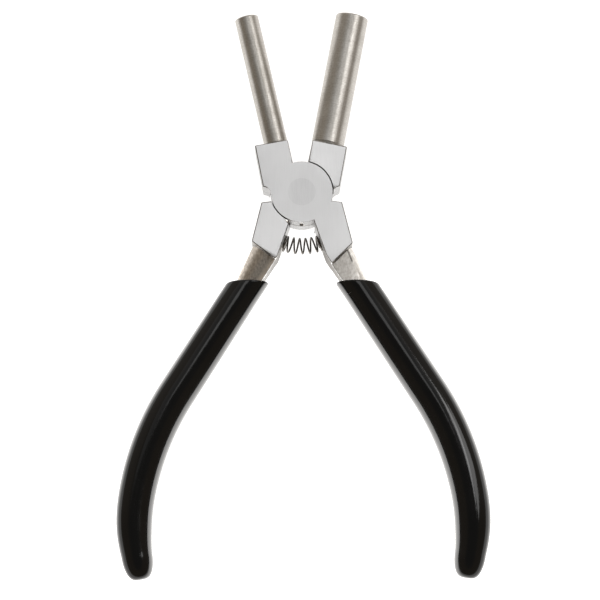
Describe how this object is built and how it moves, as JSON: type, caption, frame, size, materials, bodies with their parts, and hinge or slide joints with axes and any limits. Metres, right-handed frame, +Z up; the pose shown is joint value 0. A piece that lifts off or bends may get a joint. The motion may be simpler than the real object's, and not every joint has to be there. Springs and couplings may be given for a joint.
{
  "type": "bail making pliers",
  "caption": "Hand pliers with plain round barrels of unequal diameter on a riveted lap joint, a coil return spring and dipped grips.",
  "frame": {"origin": "on the rivet's axis, at the rear ground face on which the pliers lie", "axes": "+Z up out of the front ground face, along the rivet; +Y towards the tips of the barrels; +X to the large barrel's side"},
  "size_m": [0.0937, 0.1448, 0.01],
  "materials": {
    "ground_steel": "ground",
    "turned_steel": "turned and brushed",
    "rivet_steel": "ground flush",
    "spring_steel": "oil tempered",
    "peg_steel": "plain",
    "dipped_vinyl": "gloss"
  },
  "bodies": {
    "front_lever": {"front_half": "ground_steel", "small_barrel": "turned_steel", "pivot_rivet": "rivet_steel", "front_spring_peg": "peg_steel", "front_grip": "dipped_vinyl", "return_spring": "spring_steel"},
    "rear_lever": {"rear_half": "ground_steel", "large_barrel": "turned_steel", "rear_spring_peg": "peg_steel", "rear_grip": "dipped_vinyl"}
  },
  "joints": [
    {"name": "jaw_pivot", "type": "hinge", "parent": "front_lever", "child": "rear_lever", "pos_m": [0, 0, 0.005], "axis": [0, 0, 1], "range_deg": [-20, 23.7], "stiffness_Nm_per_rad": 0.22, "deforming": ["return_spring"]}
  ]
}
